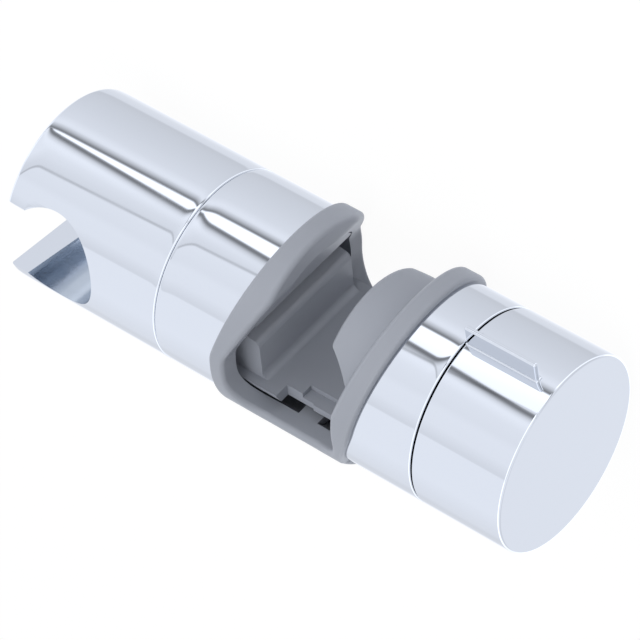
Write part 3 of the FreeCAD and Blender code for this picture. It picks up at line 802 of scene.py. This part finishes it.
    def window_lift(self, tree, split, lean):
        """How far the lower border closes up to the upper one towards the window's two ends."""
        middle = put(tree, "ShaderNodeMath", [(split, "X", 0), (self.window_middle, 1)],
                     operation="SUBTRACT")
        ratio = put(tree, "ShaderNodeMath", [(middle, "Value", 0), (self.window_half, 1)],
                    operation="DIVIDE")
        square = put(tree, "ShaderNodeMath", [(ratio, "Value", 0), (ratio, "Value", 1)],
                     operation="MULTIPLY")
        fourth = put(tree, "ShaderNodeMath", [(square, "Value", 0), (square, "Value", 1)],
                     operation="MULTIPLY")
        left_over = put(tree, "ShaderNodeMath", [(1.0, 0), (fourth, "Value", 1)],
                        operation="SUBTRACT", use_clamp=True)
        open_share = put(tree, "ShaderNodeMath", [(left_over, "Value", 0)], operation="SQRT")
        shut = put(tree, "ShaderNodeMath", [(1.0, 0), (open_share, "Value", 1)],
                   operation="SUBTRACT")
        height = put(tree, "ShaderNodeMath", [(lean, "Result", 0), (self.window_close, 1)],
                     operation="ADD")
        return put(tree, "ShaderNodeMath", [(shut, "Value", 0), (height, "Value", 1)],
                   operation="MULTIPLY")

    def seam(self, tree, split, share):
        """Levels of the thin seam below the window, which leans the other way."""
        back = put(tree, "ShaderNodeMapRange", [(split, "X", "Value")], **self.thin_seam)
        joint = put(tree, "ShaderNodeMath", [(share, "Result", 0), (back, "Result", 1)],
                    operation="ADD")
        thin = put(tree, "ShaderNodeValToRGB", [(joint, "Value", "Fac")])
        set_ramp(thin, self.over_angle(self.seam_levels))
        return thin

    def ends(self, tree, split):
        """Levels by the direction along X, for rounded edges and the knob's end face."""
        along = put(tree, "ShaderNodeMapRange", [(split, "X", "Value")],
                    From_Min=-1.0, From_Max=1.0)
        ends = put(tree, "ShaderNodeValToRGB", [(along, "Result", "Fac")])
        set_ramp(ends, [((x + 1) / 2, level) for x, level in self.end_levels])
        return ends

    def backgrounds(self, tree, tent):
        """The tent for mirrors, plain light for the rest and white for the camera."""
        mirrored = put(tree, "ShaderNodeBackground", [(tent, "Result", "Color")],
                       Strength=self.mirror_strength)
        plain = put(tree, "ShaderNodeBackground", Color=WHITE, Strength=self.light_strength)
        white = put(tree, "ShaderNodeBackground", Color=WHITE, Strength=1.0)
        path = put(tree, "ShaderNodeLightPath")
        lit = put(tree, "ShaderNodeMixShader", [
            (path, "Is Glossy Ray", "Fac"), (plain, "Background", 1), (mirrored, "Background", 2)])
        seen = put(tree, "ShaderNodeMixShader", [
            (path, "Is Camera Ray", "Fac"), (lit, "Shader", 1), (white, "Background", 2)])
        put(tree, "ShaderNodeOutputWorld", [(seen, "Shader", "Surface")])

    def over_angle(self, levels):
        """Turns (degrees, level) pairs into (share of a turn from -180 degrees, level) pairs."""
        return [(self.turn(degrees), level) for degrees, level in levels]

    def turn(self, degrees):
        """An angle round X as a share of a full turn from -180 degrees."""
        return degrees * DEGREE + 0.5

    def lamps(self):
        """Soft lamps that face the middle of the object and that the chrome doesn't mirror."""
        for name, place, size, watts in self.soft_lamps:
            deselect()
            bpy.ops.object.light_add(type="AREA", location=place)
            lamp = bpy.context.active_object
            lamp.name = name
            lamp.data.size = size
            lamp.data.energy = watts
            lamp.visible_glossy = False
            lamp.rotation_mode = "QUATERNION"
            lamp.rotation_quaternion = Vector(place).to_track_quat("Z", "Y")

    def camera(self, context):
        """Camera where the photograph was taken from: 0.7 m off, looking down with a roll."""
        data = bpy.data.cameras.new("photo_camera")
        data.lens = self.camera_lens
        data.sensor_width = self.camera_film
        data.clip_start = 10 * MM
        camera = bpy.data.objects.new("photo_camera", data)
        context.scene.collection.objects.link(camera)
        right = Vector(self.camera_right).normalized()
        forward = Vector(self.camera_forward).normalized()
        up = right.cross(forward).normalized()
        right = forward.cross(up)
        facing = Matrix((right, up, -forward)).transposed().to_4x4()
        camera.matrix_world = Matrix.Translation(self.camera_place) @ facing
        context.scene.camera = camera


# Add-on

OPERATORS = (
    SLIDER_OT_holder, SLIDER_OT_sleeves, SLIDER_OT_knob, SLIDER_OT_grey_mouldings,
    SLIDER_OT_inner_parts, SLIDER_OT_studio)


class SLIDER_PT_panel(bpy.types.Panel):
    """Lists the slider's sizes, colours and making steps"""

    bl_idname = "SLIDER_PT_panel"
    bl_label = "Shower rail slider"
    bl_space_type = "VIEW_3D"
    bl_region_type = "UI"
    bl_category = "Rail slider"

    def draw(self, context):
        for group in (context.scene.slider_sizes, context.scene.slider_colours):
            box = self.layout.box()
            for name in group.__annotations__:
                box.prop(group, name)
        for operator in OPERATORS:
            self.layout.operator(operator.bl_idname)


CLASSES = (SliderSizes, SliderColours, *OPERATORS, SLIDER_PT_panel)


def register():
    for item in CLASSES:
        bpy.utils.register_class(item)
    bpy.types.Scene.slider_sizes = bpy.props.PointerProperty(type=SliderSizes)
    bpy.types.Scene.slider_colours = bpy.props.PointerProperty(type=SliderColours)


def unregister():
    del bpy.types.Scene.slider_colours
    del bpy.types.Scene.slider_sizes
    for item in reversed(CLASSES):
        bpy.utils.unregister_class(item)


def main():
    register()
    for operator in OPERATORS:
        group, name = operator.bl_idname.split(".")
        getattr(getattr(bpy.ops, group), name)()


if __name__ == "__main__":
    main()
